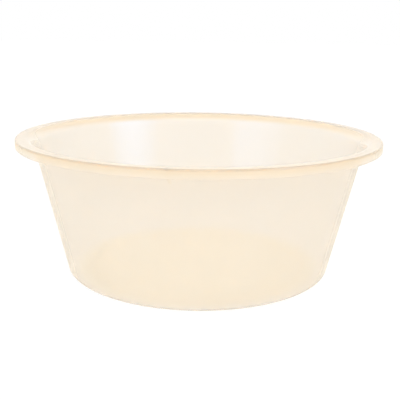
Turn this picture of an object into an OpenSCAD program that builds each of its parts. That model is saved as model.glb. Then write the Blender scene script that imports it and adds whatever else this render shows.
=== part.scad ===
// Round baby bathtub: a wide, low basin moulded in one shot from translucent plastic.
// The moulding is split into its named regions, each a closed solid that meets its
// neighbours face to face along the lines where the tool maker would split the section.
// Millimetres, +Z up. The origin is on the standing surface, under the basin's centre.

/* [Bowl] */
// Height from the standing surface to the top of the rim
tub_h = 153.5; // [120:0.5:190]
// Outside diameter of the sloping wall, carried up to the top of the rim
mouth_d = 365; // [320:1:440]
// Lean of the wall from upright, in degrees
wall_lean = 13.1; // [8:0.1:17]
// Thickness of the sloping wall
wall_t = 2; // [1.4:0.1:3]
// Thickness of the floor
floor_t = 2.2; // [1.6:0.1:3.4]
// Outside rounding between the floor and the wall
corner_r = 7; // [5:0.5:14]

/* [Foot ring] */
// Flat of the floor left outside the foot ring
foot_inset = 17; // [10:0.5:26]
// Width of the foot ring where it leaves the floor
foot_root_w = 7; // [5:0.5:9]
// Width of the flat that the foot ring stands on
foot_tread_w = 4; // [3:0.5:5]
// Height of the foot ring under the floor
foot_h = 2; // [1.2:0.1:3]

/* [Rim] */
// How far the rim stands out past the wall's outside diameter
rim_reach = 17.5; // [15.5:0.5:26]
// Thickness of the flat rim
rim_t = 2.2; // [1.6:0.1:2.8]
// Rounding under the rim, where the wall flares out into it
flare_r = 11; // [7:0.5:12]
// Depth of the turned-down lip, from the top of the rim
lip_h = 9; // [7:0.5:11]
// Thickness of the turned-down lip
lip_t = 2; // [1.6:0.1:2.6]
// Rounding of the outside edge between the rim and the lip
lip_edge_r = 1.8; // [0.6:0.1:2]
// Rounding along the lip's two lower edges
lip_foot_r = 0.6; // [0.2:0.1:0.7]

/* [Gussets] */
// Thickness of a gusset under the rim
gusset_t = 1.8; // [1.2:0.1:3]
// Depth of a gusset, from the top of the rim to its toe on the wall
gusset_h = 18; // [15:0.5:25]
// Bearing of the first gusset about the centre, in degrees from +X
gusset_bearing = -98; // [-180:1:180]
// Turn from the first gusset to the second, in degrees
gusset_turn = 177; // [20:1:340]

/* [Hidden] */

plastic = [0.98, 0.92, 0.81];
round_fn = 240;
arc_steps = 10;
edge_steps = 5;

// Heights of the faces that the regions share
floor_under_z = foot_h;
floor_top_z = floor_under_z + floor_t;
rim_under_z = tub_h - rim_t;
lip_low_z = tub_h - lip_h;

// The two faces of the wall are straight lines, so a radius follows from a height
function wall_out_r(z) = mouth_d / 2 - (tub_h - z) * tan(wall_lean);
function wall_in_r(z) = wall_out_r(z) - wall_t / cos(wall_lean);

// Points of an arc in the section plane, given as [radius, height]
function arc(centre, r, from, to, steps) = [
    for (i = [0 : steps])
        let (a = from + (to - from) * i / steps)
        centre + r * [cos(a), sin(a)]
];

// Floor corner: each face's arc touches its own floor plane and its own wall line
corner_in_r = max(corner_r - wall_t, 1);
corner_out_z = floor_under_z + corner_r;
corner_in_z = floor_top_z + corner_in_r;
corner_out_c = [wall_out_r(corner_out_z) - corner_r / cos(wall_lean), corner_out_z];
corner_in_c = [wall_in_r(corner_in_z) - corner_in_r / cos(wall_lean), corner_in_z];
corner_out_arc = arc(corner_out_c, corner_r, -90, -wall_lean, arc_steps);
corner_in_arc = arc(corner_in_c, corner_in_r, -90, -wall_lean, arc_steps);

// Flare: each face's arc touches its own wall line and its own face of the rim
flare_top_r = flare_r + wall_t;
flare_under_z = rim_under_z - flare_r;
flare_top_z = tub_h - flare_top_r;
flare_under_c = [wall_out_r(flare_under_z) + flare_r / cos(wall_lean), flare_under_z];
flare_top_c = [wall_in_r(flare_top_z) + flare_top_r / cos(wall_lean), flare_top_z];
flare_under_arc = arc(flare_under_c, flare_r, 180 - wall_lean, 90, arc_steps);
flare_top_arc = arc(flare_top_c, flare_top_r, 180 - wall_lean, 90, arc_steps);

// Rim and lip
rim_r = mouth_d / 2 + rim_reach;
lip_in_r = rim_r - lip_t;
lip_edge_c = [rim_r - lip_edge_r, tub_h - lip_edge_r];
lip_out_c = [rim_r - lip_foot_r, lip_low_z + lip_foot_r];
lip_in_c = [lip_in_r + lip_foot_r, lip_low_z + lip_foot_r];

// Foot ring, set in from the end of the flat floor
foot_mid_r = corner_out_c.x - foot_inset - foot_root_w / 2;

// Gusset: it fills the corner under the rim down to a slanted free edge
gusset_toe_z = tub_h - gusset_h;
gusset_box_l = rim_r;
gusset_bearings = [gusset_bearing, gusset_bearing + gusset_turn];

function last(list) = list[len(list) - 1];

function reversed(list) = [for (i = [len(list) - 1 : -1 : 0]) list[i]];

// A full turn of a section about the basin's axis
module turned(section)
    rotate_extrude($fn = round_fn) polygon(section);

// Flat disc of the floor, out to where the corner starts to rise
module floor_disc()
    color(plastic) turned([
        [0, floor_under_z],
        corner_out_arc[0],
        corner_in_arc[0],
        [0, floor_top_z]
    ]);

// Low ring under the floor that the basin stands on
module foot_ring()
    color(plastic) turned([
        [foot_mid_r - foot_root_w / 2, floor_under_z],
        [foot_mid_r - foot_tread_w / 2, 0],
        [foot_mid_r + foot_tread_w / 2, 0],
        [foot_mid_r + foot_root_w / 2, floor_under_z]
    ]);

// Rounded heel between the floor and the wall
module base_corner()
    color(plastic) turned(concat(corner_out_arc, reversed(corner_in_arc)));

// Straight sloping wall
module side_wall()
    color(plastic) turned([
        last(corner_out_arc),
        flare_under_arc[0],
        flare_top_arc[0],
        last(corner_in_arc)
    ]);

// Curved shoulder where the wall turns outwards into the rim
module rim_flare()
    color(plastic) turned(concat(flare_under_arc, reversed(flare_top_arc)));

// Flat ring that the hands rest on
module rim_flange()
    color(plastic) turned([
        last(flare_under_arc),
        [lip_in_r, rim_under_z],
        [lip_in_r, tub_h],
        last(flare_top_arc)
    ]);

// Lip turned down around the rim's outside
module rim_lip()
    color(plastic) turned(concat(
        [[lip_in_r, tub_h]],
        arc(lip_in_c, lip_foot_r, 180, 270, edge_steps),
        arc(lip_out_c, lip_foot_r, 270, 360, edge_steps),
        arc(lip_edge_c, lip_edge_r, 0, 90, edge_steps)
    ));

// Thin plates that tie the rim and the lip to the wall
module rim_gussets()
    color(plastic)
    for (bearing = gusset_bearings)
        rotate(bearing)
        intersection() {
            turned(concat(
                [[wall_out_r(gusset_toe_z), gusset_toe_z]],
                [[lip_in_r, lip_low_z + 2 * lip_foot_r]],
                [[lip_in_r, rim_under_z]],
                reversed(flare_under_arc)
            ));
            translate([0, -gusset_t / 2, gusset_toe_z])
                cube([gusset_box_l, gusset_t, gusset_h]);
        }

floor_disc();
foot_ring();
base_corner();
side_wall();
rim_flare();
rim_flange();
rim_lip();
rim_gussets();
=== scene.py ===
"""Looks of a round, one-piece baby bathtub in pale translucent plastic.

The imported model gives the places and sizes, and stays where it is. The real tub is one moulding,
so one clear shell with the wall's true thickness stands for the solids that its regions were
split into. The two gussets under the rim keep their own solids. Lengths are metres, +Z is up,
and the tub stands on Z = 0 about the Z axis.
"""

import logging
import math
from dataclasses import dataclass, field, replace
from enum import Enum

import bmesh
import bpy
from mathutils import Matrix, Vector


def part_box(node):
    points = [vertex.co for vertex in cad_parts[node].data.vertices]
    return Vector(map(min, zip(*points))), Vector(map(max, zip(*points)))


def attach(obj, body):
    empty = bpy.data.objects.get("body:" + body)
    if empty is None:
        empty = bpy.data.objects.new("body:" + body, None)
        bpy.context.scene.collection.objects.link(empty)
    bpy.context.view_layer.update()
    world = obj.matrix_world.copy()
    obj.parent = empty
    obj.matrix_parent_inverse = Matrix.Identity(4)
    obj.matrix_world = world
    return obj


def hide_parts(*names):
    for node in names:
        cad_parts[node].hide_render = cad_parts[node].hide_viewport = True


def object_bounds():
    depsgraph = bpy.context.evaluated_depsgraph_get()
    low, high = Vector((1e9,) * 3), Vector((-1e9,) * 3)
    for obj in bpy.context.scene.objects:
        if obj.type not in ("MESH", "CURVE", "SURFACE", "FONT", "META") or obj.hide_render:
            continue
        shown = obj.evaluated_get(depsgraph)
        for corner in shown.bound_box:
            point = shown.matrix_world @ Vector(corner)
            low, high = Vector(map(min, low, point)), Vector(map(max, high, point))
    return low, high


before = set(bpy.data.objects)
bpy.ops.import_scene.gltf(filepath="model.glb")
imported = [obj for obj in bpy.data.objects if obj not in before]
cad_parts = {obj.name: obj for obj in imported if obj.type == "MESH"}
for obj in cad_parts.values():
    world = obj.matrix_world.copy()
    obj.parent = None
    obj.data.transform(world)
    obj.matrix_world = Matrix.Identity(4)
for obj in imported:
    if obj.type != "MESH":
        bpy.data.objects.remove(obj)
cad_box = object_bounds()

LOG = logging.getLogger("bathtub")
BODY = "root"
AXIS = Vector((0.0, 0.0, 1.0))
FULL_TURN = math.tau
MERGE_DISTANCE = 1e-6
EVEN = 1.0
FLATTENED = 0.0

Colour = tuple[float, float, float, float]
Socket = bpy.types.NodeSocket
NodeTree = bpy.types.NodeTree


class Ray(Enum):
    """Kinds of ray that a surface of the studio can tell apart."""

    CAMERA = "Is Camera Ray"
    GLOSSY = "Is Glossy Ray"
    TRANSMISSION = "Is Transmission Ray"


class WallFace(Enum):
    """The two faces of the sloping wall."""

    OUTSIDE = "outside"
    INSIDE = "inside"


def link_object(name: str, data: bpy.types.ID) -> bpy.types.Object:
    """Puts a new object with this data at the origin of the scene.

    Args:
        name: Name of the object.
        data: Its mesh, lamp or camera.

    Returns:
        The object.
    """
    made = bpy.data.objects.new(name, data)
    bpy.context.scene.collection.objects.link(made)
    return made


def mesh_object(name: str, bm: bmesh.types.BMesh, smooth: bool) -> bpy.types.Object:
    """Writes a bmesh into a new object at the origin and frees the bmesh.

    Args:
        name: Name of the object and its mesh.
        bm: The finished shape, in the tub's frame.
        smooth: True where the shading runs round the shape without facets.

    Returns:
        The object.
    """
    mesh = bpy.data.meshes.new(name)
    for face in bm.faces:
        face.smooth = smooth
    bm.to_mesh(mesh)
    bm.free()
    return link_object(name, mesh)


def blank_tree(owner: bpy.types.ID) -> NodeTree:
    """Turns on the nodes of a material or world and empties its tree."""
    owner.use_nodes = True
    owner.node_tree.nodes.clear()
    return owner.node_tree


def ray_factor(tree: NodeTree, *rays: Ray) -> Socket:
    """Builds a factor that is 1 for some kinds of ray and 0 for the rest.

    Args:
        tree: The node tree to add to.
        rays: The kinds of ray that the factor is 1 for.

    Returns:
        The socket that gives the factor.
    """
    path = tree.nodes.new("ShaderNodeLightPath")
    factor = path.outputs[rays[0].value]
    for ray in rays[1:]:
        either = tree.nodes.new("ShaderNodeMath")
        either.operation = "MAXIMUM"
        tree.links.new(factor, either.inputs[0])
        tree.links.new(path.outputs[ray.value], either.inputs[1])
        factor = either.outputs["Value"]
    return factor


def either_shader(tree: NodeTree, factor: Socket, no: Socket, yes: Socket) -> Socket:
    """Chooses between two shaders.

    Args:
        tree: The node tree to add to.
        factor: The choice, 0 or 1.
        no: The shader at 0.
        yes: The shader at 1.

    Returns:
        The shader socket.
    """
    mix = tree.nodes.new("ShaderNodeMixShader")
    tree.links.new(factor, mix.inputs["Fac"])
    tree.links.new(no, mix.inputs[1])
    tree.links.new(yes, mix.inputs[2])
    return mix.outputs["Shader"]


@dataclass(frozen=True)
class ClearPlastic:
    """Natural, cream-tinted moulded plastic: clear with a slight haze, creamier in the thick rim, and with a
    painted deeper cream on the floor for light that crosses the floor twice, off the white floor beneath.

    floor_r and shoulder_z are the radii and heights between which the floor's painted cream and the
    rim's cream fade in. clearness is the share of light that passes straight on, absorption is per
    metre, and the scales are noise cells per metre.
    """

    floor_r: tuple[float, float]
    shoulder_z: tuple[float, float]
    name: str = "cream_clear_plastic"
    clearness: float = 0.64
    index: float = 1.49
    absorbed: Colour = (0.99, 0.74, 0.30, 1.0)
    absorption: float = 12.0
    pale: Colour = (0.995, 0.963, 0.914, 1.0)
    creamy: Colour = (0.985, 0.948, 0.882, 1.0)
    # Painted light: deeper cream on the floor for light that crosses it twice, off the white floor beneath.
    floor_painted_double_pass: Colour = (1.0, 0.904, 0.670, 1.0)
    rim_cream: Colour = (1.0, 0.919, 0.779, 1.0)
    smoothest: float = 0.035
    dullest: float = 0.085
    streak_scale: float = 26.0
    streak_detail: float = 3.0
    streak_stretch: float = 0.14
    mottle_scale: float = 160.0
    mottle_detail: float = 2.0
    ripple_scale: float = 9.0
    ripple_detail: float = 1.0
    ripple_depth: float = 0.00045

    def coordinates(self, tree: NodeTree, stretch: float) -> Socket:
        """Gives object coordinates, drawn out along the tub's axis.

        Args:
            tree: The material's node tree.
            stretch: Scale along the axis. EVEN leaves a pattern as it is, less draws it out into
                upright streaks, and FLATTENED drops the height.

        Returns:
            The vector socket.
        """
        place = tree.nodes.new("ShaderNodeTexCoord")
        mapping = tree.nodes.new("ShaderNodeMapping")
        mapping.inputs["Scale"].default_value = (1.0, 1.0, stretch)
        tree.links.new(place.outputs["Object"], mapping.inputs["Vector"])
        return mapping.outputs["Vector"]

    def noise(self, tree: NodeTree, scale: float, detail: float, stretch: float) -> Socket:
        """Adds a noise pattern.

        Args:
            tree: The material's node tree.
            scale: Cells per metre.
            detail: Octaves of finer noise.
            stretch: Scale along the tub's axis.

        Returns:
            The socket with the pattern, from 0 to 1.
        """
        made = tree.nodes.new("ShaderNodeTexNoise")
        made.inputs["Scale"].default_value = scale
        made.inputs["Detail"].default_value = detail
        tree.links.new(self.coordinates(tree, stretch), made.inputs["Vector"])
        return made.outputs["Fac"]

    def blend(self, tree: NodeTree, factor: Socket) -> bpy.types.Node:
        """Adds a mix of two colours, which the caller sets, by a factor from 0 to 1."""
        mix = tree.nodes.new("ShaderNodeMix")
        mix.data_type = "RGBA"
        tree.links.new(factor, mix.inputs["Factor"])
        return mix

    def fade(self, tree: NodeTree, measure: Socket, none_at: float, full_at: float) -> Socket:
        """Adds a factor that goes smoothly from 0 at one reading of a measure to 1 at another.

        Args:
            tree: The material's node tree.
            measure: The socket that gives the measure.
            none_at: Reading at the factor 0.
            full_at: Reading at the factor 1, above or below the other.

        Returns:
            The factor's socket.
        """
        ramp = tree.nodes.new("ShaderNodeMapRange")
        ramp.interpolation_type = "SMOOTHSTEP"
        ramp.inputs["From Min"].default_value = none_at
        ramp.inputs["From Max"].default_value = full_at
        tree.links.new(measure, ramp.inputs["Value"])
        return ramp.outputs["Result"]

    def painted_floor_share(self, tree: NodeTree) -> Socket:
        """Marks the floor, by its distance from the axis, for its painted double-pass cream."""
        radius = tree.nodes.new("ShaderNodeVectorMath")
        radius.operation = "LENGTH"
        tree.links.new(self.coordinates(tree, FLATTENED), radius.inputs[0])
        return self.fade(tree, radius.outputs["Value"], self.floor_r[1], self.floor_r[0])

    def rim_share(self, tree: NodeTree) -> Socket:
        """Marks the rim, by its height."""
        place = tree.nodes.new("ShaderNodeSeparateXYZ")
        tree.links.new(self.coordinates(tree, EVEN), place.inputs["Vector"])
        return self.fade(tree, place.outputs["Z"], *self.shoulder_z)

    def deeper(self, tree: NodeTree, under: Socket, cream: Colour, share: Socket) -> Socket:
        """Lays a deeper cream over a colour.

        Args:
            tree: The material's node tree.
            under: The colour that shows where the share is 0.
            cream: The colour that shows where the share is 1.
            share: The share, from 0 to 1.

        Returns:
            The colour's socket.
        """
        mix = self.blend(tree, share)
        tree.links.new(under, mix.inputs["A"])
        mix.inputs["B"].default_value = cream
        return mix.outputs["Result"]

    def flow_colour(self, tree: NodeTree) -> Socket:
        """Colours the wall's upright streaks, the rim's deeper cream, and a painted deeper cream on the
        floor for light that passes through it twice.
        """
        wall = self.blend(tree, self.noise(tree, self.streak_scale, self.streak_detail, self.streak_stretch))
        wall.inputs["A"].default_value = self.pale
        wall.inputs["B"].default_value = self.creamy
        # Painted light: the floor's deeper cream stands in for light that passes through it twice.
        with_painted_floor = self.deeper(tree, wall.outputs["Result"], self.floor_painted_double_pass, self.painted_floor_share(tree))
        return self.deeper(tree, with_painted_floor, self.rim_cream, self.rim_share(tree))

    def dullness(self, tree: NodeTree) -> Socket:
        """Varies the roughness with the fine mottle of a worn mould."""
        spread = tree.nodes.new("ShaderNodeMapRange")
        spread.inputs["To Min"].default_value = self.smoothest
        spread.inputs["To Max"].default_value = self.dullest
        mottle = self.noise(tree, self.mottle_scale, self.mottle_detail, EVEN)
        tree.links.new(mottle, spread.inputs["Value"])
        return spread.outputs["Result"]

    def ripple(self, tree: NodeTree) -> Socket:
        """Bends the surface a little, as a thin wall does when it cools."""
        bump = tree.nodes.new("ShaderNodeBump")
        bump.inputs["Strength"].default_value = 1.0
        bump.inputs["Distance"].default_value = self.ripple_depth
        waves = self.noise(tree, self.ripple_scale, self.ripple_detail, self.streak_stretch)
        tree.links.new(waves, bump.inputs["Height"])
        return bump.outputs["Normal"]

    def material(self) -> bpy.types.Material:
        """Builds the material.

        Returns:
            A material for closed shapes, which the light passes through.
        """
        made = bpy.data.materials.new(self.name)
        tree = blank_tree(made)
        plastic = tree.nodes.new("ShaderNodeBsdfPrincipled")
        plastic.inputs["Transmission Weight"].default_value = self.clearness
        plastic.inputs["IOR"].default_value = self.index
        tree.links.new(self.flow_colour(tree), plastic.inputs["Base Color"])
        tree.links.new(self.dullness(tree), plastic.inputs["Roughness"])
        tree.links.new(self.ripple(tree), plastic.inputs["Normal"])
        depth = tree.nodes.new("ShaderNodeVolumeAbsorption")
        depth.inputs["Color"].default_value = self.absorbed
        depth.inputs["Density"].default_value = self.absorption
        output = tree.nodes.new("ShaderNodeOutputMaterial")
        tree.links.new(plastic.outputs["BSDF"], output.inputs["Surface"])
        tree.links.new(depth.outputs["Volume"], output.inputs["Volume"])
        return made

    def joined(self) -> "ClearPlastic":
        """The same plastic for a piece that stands inside the moulding.

        Returns:
            A plastic whose faces hardly bend the light, as if the piece had none of its own.
        """
        return replace(
            self,
            name="joined_clear_plastic",
            index=1.01,
            clearness=1.0,
            pale=(1.0, 0.990, 0.965, 1.0),
            creamy=(1.0, 0.980, 0.940, 1.0),
            rim_cream=(1.0, 0.985, 0.950, 1.0),
        )


@dataclass(frozen=True)
class WhiteFloor:
    """Plain white floor that keeps a soft share of the tub's shadow, and shows a painted cream reflection in
    the tub's faces.
    """

    name: str = "white_floor"
    paint: Colour = (0.92, 0.92, 0.92, 1.0)
    white: Colour = (1.0, 1.0, 1.0, 1.0)
    # Painted reflection: the floor glows this cream only in glossy rays, as if lit through the tub.
    painted_reflection_cream: Colour = (1.0, 0.92, 0.78, 1.0)
    plain_glow: float = 1.0
    seen_glow: float = 0.90
    shadow_paint: Colour = (0.14, 0.14, 0.14, 1.0)

    def material(self) -> bpy.types.Material:
        """Builds the material.

        Returns:
            Paint for the light that strays, a painted cream reflection for what the tub's sides mirror,
            plain white for what shows through them, and white with a soft shadow for what is seen straight.
        """
        made = bpy.data.materials.new(self.name)
        tree = blank_tree(made)
        coat = self.paint_coat(tree, self.paint)
        # Painted reflection: cream glow for glossy rays only.
        painted_reflection = self.glow(tree, self.painted_reflection_cream, self.plain_glow)
        coat = either_shader(tree, ray_factor(tree, Ray.GLOSSY), coat, painted_reflection)
        seen_through = self.glow(tree, self.white, self.plain_glow)
        coat = either_shader(tree, ray_factor(tree, Ray.TRANSMISSION), coat, seen_through)
        coat = either_shader(tree, ray_factor(tree, Ray.CAMERA), coat, self.seen(tree))
        output = tree.nodes.new("ShaderNodeOutputMaterial")
        tree.links.new(coat, output.inputs["Surface"])
        return made

    def paint_coat(self, tree: NodeTree, colour: Colour) -> Socket:
        """Adds matt paint of one colour."""
        paint = tree.nodes.new("ShaderNodeBsdfDiffuse")
        paint.inputs["Color"].default_value = colour
        return paint.outputs["BSDF"]

    def glow(self, tree: NodeTree, colour: Colour, strength: float) -> Socket:
        """Adds an even glow.

        Args:
            tree: The material's node tree.
            colour: Colour of the glow.
            strength: Its strength, where 1 shows the colour as it is.

        Returns:
            The shader socket.
        """
        glow = tree.nodes.new("ShaderNodeEmission")
        glow.inputs["Color"].default_value = colour
        glow.inputs["Strength"].default_value = strength
        return glow.outputs["Emission"]

    def seen(self, tree: NodeTree) -> Socket:
        """Adds a plain glow to a thin paint, so that a shadow takes only the paint's share.

        Args:
            tree: The material's node tree.

        Returns:
            The shader socket.
        """
        both = tree.nodes.new("ShaderNodeAddShader")
        tree.links.new(self.glow(tree, self.white, self.seen_glow), both.inputs[0])
        tree.links.new(self.paint_coat(tree, self.shadow_paint), both.inputs[1])
        return both.outputs["Shader"]


@dataclass(frozen=True)
class SectionCorner:
    """A corner of the shell's section before it is rounded."""

    radius: float
    height: float
    rounding: float = 0.0

    def point(self) -> Vector:
        """The corner in the plane of the section."""
        return Vector((self.radius, 0.0, self.height))


@dataclass
class Moulding:
    """The tub itself: one closed skin, turned from a section with the wall's true thickness.

    The rounds, the wall and the foot ring are sized here. Every height and radius that the solids
    fix is read from their boxes.
    """

    wall: float = 0.0020
    lean: float = math.radians(13.1)
    heel_rounding: float = 0.007
    flare_rounding: float = 0.011
    lip_edge_rounding: float = 0.0018
    lip_root_rounding: float = 0.0005
    lip_foot_rounding: float = 0.0006
    foot_root: float = 0.007
    foot_tread: float = 0.004
    foot_rounding: float = 0.0004
    arc_segments: int = 12
    cell: float = 0.006
    turns: int = 240
    floor_z: tuple[float, float] = field(init=False)
    rim_z: tuple[float, float] = field(init=False)
    lip_low_z: float = field(init=False)
    lip_r: tuple[float, float] = field(init=False)
    floor_r: tuple[float, float] = field(init=False)
    shoulder_z: tuple[float, float] = field(init=False)
    foot_r: float = field(init=False)
    mouth_r: float = field(init=False)

    REPLACED = (
        "floor_disc",
        "foot_ring",
        "base_corner",
        "side_wall",
        "rim_flare",
        "rim_flange",
        "rim_lip",
    )

    def __post_init__(self) -> None:
        """Reads the heights and radii that the solids fix."""
        floor_low, floor_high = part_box("floor_disc")
        flange_low, flange_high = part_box("rim_flange")
        lip_low, lip_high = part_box("rim_lip")
        self.floor_z = (floor_low.z, floor_high.z)
        self.rim_z = (flange_low.z, flange_high.z)
        self.lip_low_z = lip_low.z
        self.lip_r = (flange_high.x, lip_high.x)
        self.foot_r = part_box("foot_ring")[1].x - self.foot_root / 2
        self.floor_r = (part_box("foot_ring")[1].x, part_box("base_corner")[1].x)
        self.shoulder_z = (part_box("rim_flare")[0].z, flange_low.z)
        wall_end_z = self.rim_z[0] - self.flare_rounding * (1 - math.sin(self.lean))
        rise = (self.rim_z[1] - wall_end_z) * math.tan(self.lean)
        self.mouth_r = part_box("side_wall")[1].x + rise

    def wall_r(self, height: float, face: WallFace) -> float:
        """Radius of a face of the sloping wall.

        Args:
            height: Height above the floor that the tub stands on.
            face: The wall's outside or inside face.

        Returns:
            The radius at that height.
        """
        outside = self.mouth_r - (self.rim_z[1] - height) * math.tan(self.lean)
        if face is WallFace.OUTSIDE:
            return outside
        return outside - self.wall / math.cos(self.lean)

    def foot_corners(self) -> list[SectionCorner]:
        """The four corners of the foot ring, from the axis outwards."""
        root, tread, low = self.foot_root / 2, self.foot_tread / 2, self.floor_z[0]
        return [
            SectionCorner(self.foot_r - root, low, self.foot_rounding),
            SectionCorner(self.foot_r - tread, 0.0, self.foot_rounding),
            SectionCorner(self.foot_r + tread, 0.0, self.foot_rounding),
            SectionCorner(self.foot_r + root, low, self.foot_rounding),
        ]

    def rim_corners(self) -> list[SectionCorner]:
        """The corners of the flared rim and its lip, from the wall's outside face to its inside."""
        under, top = self.rim_z
        lip_in, lip_out = self.lip_r
        return [
            SectionCorner(self.wall_r(under, WallFace.OUTSIDE), under, self.flare_rounding),
            SectionCorner(lip_in, under, self.lip_root_rounding),
            SectionCorner(lip_in, self.lip_low_z, self.lip_foot_rounding),
            SectionCorner(lip_out, self.lip_low_z, self.lip_foot_rounding),
            SectionCorner(lip_out, top, self.lip_edge_rounding),
            SectionCorner(self.wall_r(top, WallFace.INSIDE), top, self.flare_rounding + self.wall),
        ]

    def corners(self) -> list[SectionCorner]:
        """The whole section, from the axis under the floor round to the axis on top of it."""
        under, top = self.floor_z
        inner_heel = self.heel_rounding - self.wall
        return [
            SectionCorner(0.0, under),
            *self.foot_corners(),
            SectionCorner(self.wall_r(under, WallFace.OUTSIDE), under, self.heel_rounding),
            *self.rim_corners(),
            SectionCorner(self.wall_r(top, WallFace.INSIDE), top, inner_heel),
            SectionCorner(0.0, top),
        ]

    def round_corner(self, bm: bmesh.types.BMesh, vert: bmesh.types.BMVert, rounding: float) -> None:
        """Rounds a corner of the section.

        Args:
            bm: The section, as a chain of edges.
            vert: The corner.
            rounding: Radius of the round that takes its place.
        """
        before, after = (edge.other_vert(vert).co - vert.co for edge in vert.link_edges)
        turn = math.pi - before.angle(after)
        bmesh.ops.bevel(
            bm,
            geom=[vert],
            offset=rounding * math.tan(turn / 2),
            offset_type="OFFSET",
            segments=self.arc_segments,
            profile=0.5,
            affect="VERTICES",
            material=-1,
        )

    def section(self) -> bmesh.types.BMesh:
        """Draws the section, rounds its corners and cuts its long runs into cells.

        Returns:
            The section as a chain of edges in the plane of X and Z.
        """
        bm = bmesh.new()
        corners = self.corners()
        verts = [bm.verts.new(corner.point()) for corner in corners]
        for start, end in zip(verts, verts[1:]):
            bm.edges.new((start, end))
        for vert, corner in zip(verts, corners):
            if corner.rounding:
                self.round_corner(bm, vert, corner.rounding)
        for edge in bm.edges[:]:
            cuts = math.ceil(edge.calc_length() / self.cell) - 1
            if cuts > 0:
                bmesh.ops.subdivide_edges(bm, edges=[edge], cuts=cuts)
        return bm

    def build(self) -> bpy.types.Object:
        """Turns the section about the axis into one closed skin.

        Returns:
            The tub, standing for the solids of its regions.
        """
        bm = self.section()
        bmesh.ops.spin(
            bm,
            geom=bm.verts[:] + bm.edges[:],
            cent=(0.0, 0.0, 0.0),
            axis=AXIS,
            dvec=(0.0, 0.0, 0.0),
            angle=FULL_TURN,
            steps=self.turns,
            use_merge=True,
            use_duplicate=False,
        )
        bmesh.ops.remove_doubles(bm, verts=bm.verts[:], dist=MERGE_DISTANCE)
        bmesh.ops.recalc_face_normals(bm, faces=bm.faces[:])
        return mesh_object("moulded_tub", bm, smooth=True)

    def dress(self, tub: bpy.types.Object, finish: bpy.types.Material) -> None:
        """Gives the tub its plastic and its place among the solids.

        Args:
            tub: The turned skin.
            finish: The plastic.
        """
        tub.data.materials.append(finish)
        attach(tub, BODY)
        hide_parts(*self.REPLACED)


@dataclass
class Gussets:
    """The two thin plates under the rim, which keep their own solids."""

    node: str = "rim_gussets"

    def dress(self, finish: bpy.types.Material) -> bpy.types.Object:
        """Gives the plates their plastic.

        Args:
            finish: A plastic without faces of its own, because the plates are moulded in one with
                the rim.

        Returns:
            The plates.
        """
        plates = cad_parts[self.node]
        plates.data.materials.clear()
        plates.data.materials.append(finish)
        return plates


@dataclass(frozen=True)
class Softbox:
    """A soft, rectangular lamp beside or in front of the tub.

    bearing and rise, in degrees about the tub, and distance place it. toe turns it aside from the
    tub, and spread is the angle that its grid lets out. level is its brightness, where 1 shows
    as plain white. A lamp for gloss only leaves the matt share of a surface unlit, and
    shows in the tub's inside as an upright bright band.
    """

    name: str
    bearing: float
    rise: float
    distance: float
    width: float
    height: float
    level: float
    toe: float
    spread: float
    colour: tuple[float, float, float]
    gloss_only: bool

    def kept_share(self) -> float:
        """Share of an open lamp's light that is left when its grid narrows the spread.

        Returns:
            1 for an open lamp, and less for a narrower one of the same brightness.
        """
        half = math.radians(self.spread / 2)
        return math.sin(half) ** 2 - (half - math.sin(half) * math.cos(half)) / math.tan(half)

    def build(self, aim: Vector) -> bpy.types.Object:
        """Makes the lamp and turns it to the tub.

        Args:
            aim: The point that the lamp looks at.

        Returns:
            The lamp, which neither the camera nor light that passes through plastic sees.
        """
        data = bpy.data.lights.new(self.name, "AREA")
        data.shape = "RECTANGLE"
        data.size = self.width
        data.size_y = self.height
        data.energy = self.level * self.kept_share() * math.pi * self.width * self.height
        data.color = self.colour
        data.spread = math.radians(self.spread)
        lamp = link_object(self.name, data)
        turn = Matrix.Rotation(math.radians(self.bearing), 3, "Z")
        way = turn @ Vector((math.cos(math.radians(self.rise)), 0.0, math.sin(math.radians(self.rise))))
        lamp.location = aim + way * self.distance
        faces = Matrix.Rotation(math.radians(self.toe), 3, "Z") @ way
        lamp.rotation_euler = faces.to_track_quat("Z", "Y").to_euler()
        lamp.visible_camera = False
        lamp.visible_transmission = False
        lamp.visible_diffuse = not self.gloss_only
        return lamp


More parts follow.
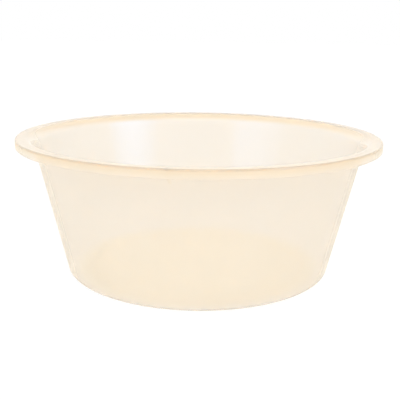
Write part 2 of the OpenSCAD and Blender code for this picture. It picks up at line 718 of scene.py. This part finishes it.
@dataclass
class Studio:
    """White room, white floor and three soft lamps."""

    floor_finish: WhiteFloor = field(default_factory=WhiteFloor)
    floor_radius: float = 12.0
    floor_segments: int = 64
    floor_drop: float = 0.0002
    room_white: Colour = (1.0, 1.0, 1.0, 1.0)
    room_level: float = 1.02
    white_level: float = 1.0
    most_bounces: int = 32
    most_matt_bounces: int = 16
    lamps: tuple[Softbox, ...] = (
        Softbox(
            name="softbox_front",
            bearing=-90.0,
            rise=58.0,
            distance=1.6,
            width=1.2,
            height=1.2,
            level=1.25,
            toe=0.0,
            spread=180.0,
            colour=(1.0, 0.96, 0.90),
            gloss_only=False,
        ),
        Softbox(
            name="softbox_right",
            bearing=-32.0,
            rise=27.0,
            distance=1.6,
            width=1.25,
            height=1.07,
            level=6.8,
            toe=0.0,
            spread=50.0,
            colour=(0.17, 0.48, 1.0),
            gloss_only=True,
        ),
        Softbox(
            name="softbox_left",
            bearing=-147.0,
            rise=32.0,
            distance=1.6,
            width=1.25,
            height=1.07,
            level=2.8,
            toe=20.0,
            spread=86.0,
            colour=(0.24, 0.50, 1.0),
            gloss_only=True,
        ),
    )

    def lay_floor(self) -> bpy.types.Object:
        """Lays the floor just under the foot ring."""
        bm = bmesh.new()
        bmesh.ops.create_circle(
            bm, cap_ends=True, segments=self.floor_segments, radius=self.floor_radius
        )
        bmesh.ops.translate(bm, verts=bm.verts[:], vec=-AXIS * self.floor_drop)
        floor = mesh_object("studio_floor", bm, smooth=False)
        floor.data.materials.append(self.floor_finish.material())
        return floor

    def paint_room(self) -> bpy.types.World:
        """Fills the room with even light, and shows it as plain white.

        Returns:
            The world.
        """
        world = bpy.data.worlds.new("white_room")
        tree = blank_tree(world)
        light = tree.nodes.new("ShaderNodeBackground")
        light.inputs["Color"].default_value = self.room_white
        light.inputs["Strength"].default_value = self.room_level
        white = tree.nodes.new("ShaderNodeBackground")
        white.inputs["Color"].default_value = self.room_white
        white.inputs["Strength"].default_value = self.white_level
        shows_white = ray_factor(tree, *Ray)
        shade = either_shader(
            tree, shows_white, light.outputs["Background"], white.outputs["Background"]
        )
        output = tree.nodes.new("ShaderNodeOutputWorld")
        tree.links.new(shade, output.inputs["Surface"])
        bpy.context.scene.world = world
        return world

    def free_light(self) -> None:
        """Gives light inside the clear wall enough bounces to find its way out again."""
        paths = bpy.context.scene.cycles
        paths.max_bounces = self.most_bounces
        paths.transmission_bounces = self.most_bounces
        paths.diffuse_bounces = self.most_matt_bounces
        paths.glossy_bounces = self.most_matt_bounces
        paths.blur_glossy = 0.0

    def build(self, aim: Vector) -> list[bpy.types.Object]:
        """Builds the studio round the tub.

        Args:
            aim: The middle of the tub.

        Returns:
            The floor and the lamps.
        """
        self.paint_room()
        self.free_light()
        bpy.context.scene.view_settings.view_transform = "Standard"
        return [self.lay_floor(), *(lamp.build(aim) for lamp in self.lamps)]


@dataclass(frozen=True)
class Viewpoint:
    """A camera a little above the rim, in front of the tub; lengths in metres and turns in degrees.

    lens and sensor are in millimetres. The camera looks along +Y and down by tilt.
    """

    away: float = 0.7575
    height: float = 0.2688
    lens: float = 61.25
    tilt: float = 14.22
    pan: float = -0.14
    roll: float = 0.72
    sensor: float = 36.0

    def build(self) -> bpy.types.Object:
        """Makes the scene's camera.

        Returns:
            The camera.
        """
        data = bpy.data.cameras.new("camera")
        data.sensor_width = self.sensor
        data.lens = self.lens
        camera = link_object("camera", data)
        camera.location = (0.0, -self.away, self.height)
        turn = (
            Matrix.Rotation(math.radians(self.pan), 3, "Z")
            @ Matrix.Rotation(math.radians(90.0 - self.tilt), 3, "X")
            @ Matrix.Rotation(math.radians(self.roll), 3, "Z")
        )
        camera.rotation_euler = turn.to_euler()
        bpy.context.scene.camera = camera
        return camera


def report(piece: bpy.types.Object) -> None:
    """Logs a finished piece with its faces."""
    LOG.info("%s: %d faces", piece.name, len(piece.data.polygons))


def main() -> None:
    """Builds the tub, its finish and the studio, in that order."""
    logging.basicConfig(level=logging.INFO, format="%(message)s")
    moulding = Moulding()
    plastic = ClearPlastic(moulding.floor_r, moulding.shoulder_z)
    tub = moulding.build()
    moulding.dress(tub, plastic.material())
    report(tub)
    report(Gussets().dress(plastic.joined().material()))
    low, high = cad_box
    for item in Studio().build((low + high) / 2):
        LOG.info("studio: %s", item.name)
    Viewpoint().build()


if __name__ == "__main__":
    main()
